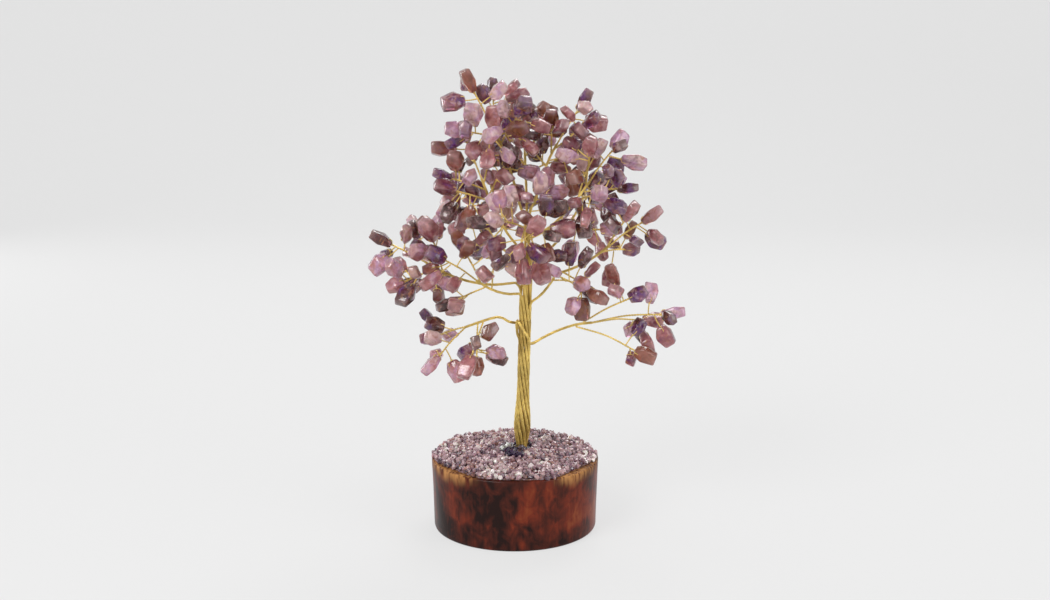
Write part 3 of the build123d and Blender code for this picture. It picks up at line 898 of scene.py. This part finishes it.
    def build_foot_stones(self) -> None:
        """Builds the dark stones round the foot of the trunk, heaped in front of it with a few pale ones."""
        dice = Random(5)
        bm = stone_mesh()
        for count, turns, reaches, (least, greatest), tones in self.foot_groups:
            for _ in range(count):
                turn = math.radians(dice.uniform(*turns))
                reach = self.trunk_radius + dice.uniform(*reaches) * MM
                tone = dice.uniform(*tones) if tones else PALEST
                x = self.trunk_x + reach * math.cos(turn)
                y = reach * math.sin(turn)
                place = Vector((x, y, self.top(x, y) + dice.uniform(*self.foot_lift)))
                self.scatter(bm, place, (least * MM, greatest * MM), dice, tone)
        stone = Stone("foot_stone", DARK_FOOT, vein_scale=500.0, cloud_share=0.15, paleness_and_tip_light_share=0.1,
                      amber_share=0.1, rust_share=0.0)
        piece = piece_from(bm, "foot_stones", stone.material(), Body.TREE, Edge.BROKEN)
        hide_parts("foot_chips")

    def build(self) -> None:
        """Builds the glue, the gravel and the larger stones."""
        self.build_glue()
        self.build_gravel()
        self.build_foot_stones()


@dataclass
class Branch:
    """One branch: its strand of wires, its twigs, and the tumbled stones on their tips."""

    name: str
    body: Body = Body.TREE
    strand_corners: int = 5
    strand_wires: int = 5
    strand_radius: float = 0.6125 * MM
    strand_pitch: float = 16.0 * MM
    strand_points: int = 13
    lay_share: float = 0.617
    gauge_share: float = 0.365
    widest: float = 1.6
    bend_reach: float = 1.6 * MM
    spray: WireRope = WireRope(wires=2, lay_radius=0.22 * MM, wire_radius=0.23 * MM, pitch=2.4 * MM)
    twig: WireRope = WireRope(wires=2, lay_radius=0.16 * MM, wire_radius=0.175 * MM, pitch=1.7 * MM)
    twig_limit: float = 9.0 * MM
    root_reach: float = 0.45 * MM
    sag: float = 0.07
    waver_mm: Range = (-0.25, 0.25)
    hole_height: float = 2.0 * MM
    probe_reach: float = 6.0 * MM
    loop_turns: int = 6
    loop_shares: tuple[float, ...] = (0.2, 0.55, 0.8, 1.0)
    loop_lift: float = 0.8
    loop_dip: float = -1.2
    loop_step: float = 0.45 * MM
    stone_reach: float = 4.4 * MM
    flat_angle: float = math.radians(1.0)
    rounding: Range = (10.0, 17.0)
    hollow_scale: float = 420.0
    hollow_depth: float = 0.35 * MM
    swell: float = 0.12 * MM
    tones: tuple[Range, ...] = ((0.0, 0.2), (0.15, 0.42), (0.4, 0.65), (0.5, 0.8), (0.75, 1.0))

    def seed(self) -> int:
        """A number of its own for the accidents of this branch."""
        return sum((place + 1) * ord(letter) for place, letter in enumerate(self.name))

    def strand_nodes(self) -> list[str]:
        """Nodes that the wires of the strand stand for."""
        names = [self.name + "_strand", self.name + "_stem"]
        return [name for name in names if name in frame["nodes"]]

    def rings(self, node: str) -> list[Points]:
        """Rings of corners along a strand's solid.

        Args:
            node: Name of the solid's node.

        Returns:
            The rings, from the end in the socket or at the bend to the other end.
        """
        bm = merged_copy(node)
        if node.endswith("_strand") or self.body is Body.TREE:
            first = min(bm.verts, key=lambda vert: vert.co.z)
        else:
            bend = self.bend()[0]
            first = min(bm.verts, key=lambda vert: (vert.co - bend).length)
        patches = [self.flat_patch(face) for face in first.link_faces]
        current = next(patch for patch in patches if len(patch) == self.strand_corners)
        seen = set(current)
        found = []
        while current:
            found.append([vert.co.copy() for vert in current])
            following = []
            for vert in current:
                for link in vert.link_edges:
                    other = link.other_vert(vert)
                    if other not in seen:
                        seen.add(other)
                        following.append(other)
            current = following
        bm.free()
        return found

    def flat_patch(self, face: BMFace) -> list[BMVert]:
        """Finds the flat patch of triangles that a face is in.

        Args:
            face: The face.

        Returns:
            The vertices of the patch.
        """
        faces, verts, queue = {face}, [], [face]
        while queue:
            current = queue.pop()
            for vert in current.verts:
                if vert not in verts:
                    verts.append(vert)
            for link in current.edges:
                for other in link.link_faces:
                    if other not in faces and other.normal.dot(face.normal) > FLAT_COSINE:
                        faces.add(other)
                        queue.append(other)
        return verts

    def bend(self) -> tuple[Vector, Vector]:
        """Place of the bend of a free branch, and the direction in which the stem leaves it."""
        joint = next(j for j in frame["joints"] if j["child"] == self.body.value)
        return Vector(joint["pos_m"]), UP.cross(Vector(joint["axis"])).normalized()

    def build_strand(self, wire: Material) -> None:
        """Builds the strand as a bundle of wires twisted together.

        Args:
            wire: The wire's material.
        """
        rings = [ring for node in self.strand_nodes() for ring in self.rings(node)]
        knots = [centre_of(ring) for ring in rings]
        radii = [max((point - centre).length for point in ring) for ring, centre in zip(rings, knots)]
        sizes = [min(radius / self.strand_radius, self.widest) for radius in radii]
        rope = WireRope(self.strand_wires, self.strand_radius * self.lay_share,
                        self.strand_radius * self.gauge_share, self.strand_pitch, self.strand_points)
        bm = round_wire(rope.lines(knots, self.seed() % 7, sizes))
        body = self.body if self.body is Body.TREE else None
        piece = piece_from(bm, self.name + "_strand_wires", wire, body)
        if body is None:
            place, out = self.bend()
            reach = out * self.bend_reach
            place - reach
            place + reach
            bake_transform(piece)
        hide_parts(*self.strand_nodes())

    def stones(self) -> list[BMesh]:
        """Takes the solids of this branch's stones apart.

        Returns:
            One bmesh for each stone.
        """
        whole = merged_copy(self.name + "_chips")
        bmesh.ops.dissolve_limit(whole, angle_limit=self.flat_angle, verts=whole.verts, edges=whole.edges)
        made = []
        for group in islands(whole):
            bm = bmesh.new()
            copies = {vert: bm.verts.new(vert.co) for vert in group}
            for face in {face for vert in group for face in vert.link_faces}:
                bm.faces.new([copies[vert] for vert in face.verts])
            bm.normal_update()
            made.append(bm)
        whole.free()
        return made

    def tumble(self, bm: BMesh, dice: Random) -> None:
        """Rounds a stone and gives its surface the soft hollows of tumbling.

        Args:
            bm: The stone.
            dice: Source of its accidents.
        """
        bmesh.ops.bevel(bm, geom=list(bm.verts) + list(bm.edges), offset=dice.uniform(*self.rounding),
                        segments=2, offset_type="PERCENT", profile=0.5, affect="EDGES", material=-1)
        bm.normal_update()
        for vert in bm.verts:
            hollow = noise.noise(vert.co * self.hollow_scale) * self.hollow_depth
            vert.co += vert.normal * (hollow + self.swell)

    def twig_lines(self) -> list[tuple[Vector, Vector]]:
        """Finds the middle lines of this branch's wires.

        Returns:
            Both ends of each line.
        """
        bm = merged_copy(self.name + "_wires")
        lines = []
        for group in islands(bm):
            points = [vert.co.copy() for vert in group]
            far = max(points, key=lambda point: (point - points[0]).length)
            near = max(points, key=lambda point: (point - far).length)
            points.sort(key=lambda point: (point - near).dot(far - near))
            lines.append((centre_of(points[:3]), centre_of(points[3:])))
        bm.free()
        return lines

    def stone_on(self, start: Vector, end: Vector, middles: Points) -> tuple[float, int]:
        """The nearest stone's distance from where a stone on this end of a wire is, and its number."""
        expected = end + (end - start).normalized() * self.stone_reach
        return min(((middle - expected).length, number) for number, middle in enumerate(middles))

    def build_twigs(self, wire: Material, stones: list[BMesh]) -> None:
        """Builds the twigs as pairs of fine wire, the long ones arched, with the loops that hold the stones.

        Args:
            wire: The wire's material.
            stones: The finished stones of this branch.
        """
        dice = Random(self.seed())
        middles = [centre_of([vert.co for vert in bm.verts]) for bm in stones]
        surfaces = [BVHTree.FromBMesh(bm) for bm in stones]
        wires: Wires = []
        for start, end in self.twig_lines():
            if self.stone_on(end, start, middles)[0] < self.stone_on(start, end, middles)[0]:
                start, end = end, start
            along = (end - start).normalized()
            length = (end - start).length
            rope = self.twig if length < self.twig_limit else self.spray
            arch = (UP - along * along.z) * self.sag * max(length - self.twig_limit, 0.0)
            bow = arch + along.orthogonal().normalized() * dice.uniform(*self.waver_mm) * MM
            knots = [start - along * self.root_reach, start.lerp(end, 0.5) + bow, end]
            wires += rope.lines(knots, dice.uniform(0.0, math.tau))
            away, number = self.stone_on(start, end, middles)
            if away < self.stone_reach:
                wires += [(line, self.twig.wire_radius) for line in self.loop(end, along, surfaces[number])]
        piece = piece_from(round_wire(wires), self.name + "_twigs", wire, self.body)
        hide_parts(self.name + "_wires")

    def loop(self, tip: Vector, along: Vector, surface: BVHTree) -> list[Points]:
        """The two ends of wire that part at a stone's foot and go into the hole through it.

        Args:
            tip: End of the twig.
            along: Direction of the twig.
            surface: The stone's surface.

        Returns:
            The line of each end of wire, where the stone is narrowest, or none if it isn't met.
        """
        first = along.orthogonal().normalized()
        second = along.cross(first)
        best: list[Points] = []
        best_width = math.inf
        for step in range(self.loop_turns):
            turn = math.pi * step / self.loop_turns
            across = first * math.cos(turn) + second * math.sin(turn)
            lines = [self.half_loop(tip, along, across * sign, surface) for sign in (1.0, -1.0)]
            if all(lines):
                width = (lines[0][-1] - lines[1][-1]).length
                if width < best_width:
                    best, best_width = lines, width
        return best

    def half_loop(self, tip: Vector, along: Vector, across: Vector, surface: BVHTree) -> Points:
        """One end of wire up the side of a stone.

        Args:
            tip: End of the twig.
            along: Direction of the twig.
            across: Direction from the twig to this side of the stone.
            surface: The stone's surface.

        Returns:
            The line of the wire, or nothing where it meets no stone.
        """
        points = [tip - along * self.root_reach]
        for share in self.loop_shares:
            centre = tip + along * self.hole_height * share
            hit, _, _, _ = surface.ray_cast(centre + across * self.probe_reach, -across)
            if hit is None:
                return []
            proud = self.twig.wire_radius * (self.loop_lift if share < 1.0 else self.loop_dip)
            points.append(hit + across * proud)
        return smooth_line(points, self.loop_step)

    def build(self, wire: Material, stone: Material) -> None:
        """Builds the whole branch.

        Args:
            wire: The wire's material.
            stone: The stones' material.
        """
        dice = Random(self.seed() + 1)
        stones = self.stones()
        for bm in stones:
            self.tumble(bm, dice)
        self.build_strand(wire)
        self.build_twigs(wire, stones)
        whole = stone_mesh()
        for bm in stones:
            tint = bm.verts.layers.float_color.new(STONE_COLOUR)
            tone = dice.uniform(*dice.choice(self.tones))
            cloudiness = dice.random()
            middle = centre_of([vert.co for vert in bm.verts])
            farthest = max((vert.co - middle).length for vert in bm.verts)
            for vert in bm.verts:
                # Blue is the distance from the stone's middle, which paints light towards its tips.
                vert[tint] = (tone, cloudiness, (vert.co - middle).length / farthest, 1.0)
            holder = bpy.data.meshes.new("one_stone")
            bm.to_mesh(holder)
            bm.free()
            whole.from_mesh(holder)
            bpy.data.meshes.remove(holder)
        piece = piece_from(whole, self.name + "_stones", stone, self.body, Edge.TUMBLED)
        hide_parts(self.name + "_chips")


@dataclass
class Studio:
    """The pale floor and backdrop, the camera, and the soft lamps with their places, widths and watts."""

    backdrop: float = 0.80
    evenness: float = 0.8
    horizon: float = 0.76
    world_strength: float = 0.55
    lamps: tuple[tuple[str, Place, float, float], ...] = (
        ("key_lamp", (-0.55, -0.65, 0.75), 0.5, 7.0),
        ("fill_lamp", (0.75, -0.45, 0.35), 0.6, 3.0),
        ("back_lamp", (0.2, 0.6, 0.8), 0.5, 4.0),
        ("side_lamp", (-0.75, 0.6, 0.2), 0.35, 1.8),
    )
    camera_place: Place = (0.0045, -0.620, 0.2293)
    camera_aim: Place = (0.0045, 0.0, 0.1034)
    lens: float = 49.2
    clip_start: float = 0.01
    width: float = 2.4
    depth: float = 0.9
    rise: float = 1.6
    sweep: float = 0.5
    sweep_steps: int = 12
    drop: float = 0.05 * MM

    def build_backdrop(self) -> None:
        """Builds the floor that sweeps up into the backdrop."""
        bm = bmesh.new()
        line = [Vector((-self.width, -self.depth, 0.0)), Vector((-self.width, self.depth, 0.0))]
        for step in range(1, self.sweep_steps + 1):
            turn = math.pi / 2.0 * step / self.sweep_steps
            back = self.depth + self.sweep * math.sin(turn)
            line.append(Vector((-self.width, back, self.sweep * (1.0 - math.cos(turn)))))
        line.append(line[-1] + UP * self.rise)
        verts = [bm.verts.new(point) for point in line]
        edges = [bm.edges.new(pair) for pair in zip(verts, verts[1:])]
        moved = bmesh.ops.extrude_edge_only(bm, edges=edges)["geom"]
        bmesh.ops.translate(bm, vec=(2.0 * self.width, 0.0, 0.0),
                            verts=[item for item in moved if isinstance(item, BMVert)])
        bmesh.ops.recalc_face_normals(bm, faces=bm.faces)
        floor = add_object(bm, "backdrop", self.paper())
        floor.location.z = -self.drop

    def paper(self) -> Material:
        """Makes pale paper, which the camera sees lit evenly, with the object's shadow on it.

        Returns:
            The material.
        """
        graph = Graph("pale_paper")
        tone = (self.backdrop, self.backdrop, self.backdrop, 1.0)
        lit = graph.node("ShaderNodeBsdfDiffuse", {}, {"Color": tone})
        flat = graph.node("ShaderNodeEmission", {}, {"Color": tone, "Strength": 1.0})
        share = self.looked_at(graph) * self.evenness
        graph.show(graph.node("ShaderNodeMixShader", {}, {0: share, 1: lit, 2: flat}))
        return graph.owner

    def looked_at(self, graph: Graph) -> Signal:
        """1 where the camera sees a surface straight or in a stone or on a gloss, and 0 for its light."""
        rays = [graph.node("ShaderNodeLightPath", {}, {}, f"Is {ray} Ray")
                for ray in ("Camera", "Glossy", "Transmission")]
        return rays[0].at_least(rays[1].at_least(rays[2]))

    def build_world(self) -> None:
        """Gives the world an even light, and the paleness of the floor where it is seen."""
        graph = Graph("studio", of_world=True)
        strength = self.looked_at(graph) * (self.horizon - self.world_strength) + self.world_strength
        light = {"Color": (1.0, 1.0, 1.0, 1.0), "Strength": strength}
        graph.show(graph.node("ShaderNodeBackground", {}, light))
        bpy.context.scene.world = graph.owner

    def aimed(self, data: bpy.types.ID, place: Place) -> Object:
        """Stands a lamp or the camera at a place and points it at the tree.

        Args:
            data: The lamp or the camera.
            place: Where it stands.

        Returns:
            Its object.
        """
        holder = bpy.data.objects.new(data.name, data)
        holder.location = place
        way = Vector(self.camera_aim) - Vector(place)
        holder.rotation_euler = way.to_track_quat("-Z", "Y").to_euler()
        bpy.context.scene.collection.objects.link(holder)
        return holder

    def build_lamps(self) -> None:
        """Adds the lamps."""
        for name, place, size, power in self.lamps:
            lamp = bpy.data.lights.new(name, "AREA")
            lamp.size = size
            lamp.energy = power
            self.aimed(lamp, place)

    def build_camera(self) -> None:
        """Sets the camera at the photograph's angle."""
        camera = bpy.data.cameras.new("camera")
        camera.lens = self.lens
        camera.clip_start = self.clip_start
        bpy.context.scene.camera = self.aimed(camera, self.camera_place)

    def build(self) -> None:
        """Builds the floor, the world, the lamps and the camera."""
        self.build_backdrop()
        self.build_world()
        self.build_lamps()
        self.build_camera()
        bpy.context.scene.view_settings.view_transform = "Standard"


def branches() -> list[Branch]:
    """Finds the branches by their nodes of stones.

    Returns:
        The branches, each on the body that carries it.
    """
    free = {body.value.removesuffix("_branch"): body for body in (Body.LOW_RIGHT, Body.LOW_LEFT)}
    names = [node.removesuffix("_chips") for node in sorted(frame["nodes"]) if node.endswith("_chips")]
    return [Branch(name, free.get(name, Body.TREE)) for name in names if name + "_wires" in frame["nodes"]]


def main() -> None:
    """Builds every piece and the studio."""
    logging.basicConfig(level=logging.INFO, format="%(message)s")
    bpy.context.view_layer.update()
    WoodBlock().build()
    StoneBed().build()
    wire = BrassWire().material()
    stone = Stone("tumbled_stone", PLUM_TO_LILAC).material()
    for branch in branches():
        branch.build(wire, stone)
    Studio().build()


if __name__ == "__main__":
    main()
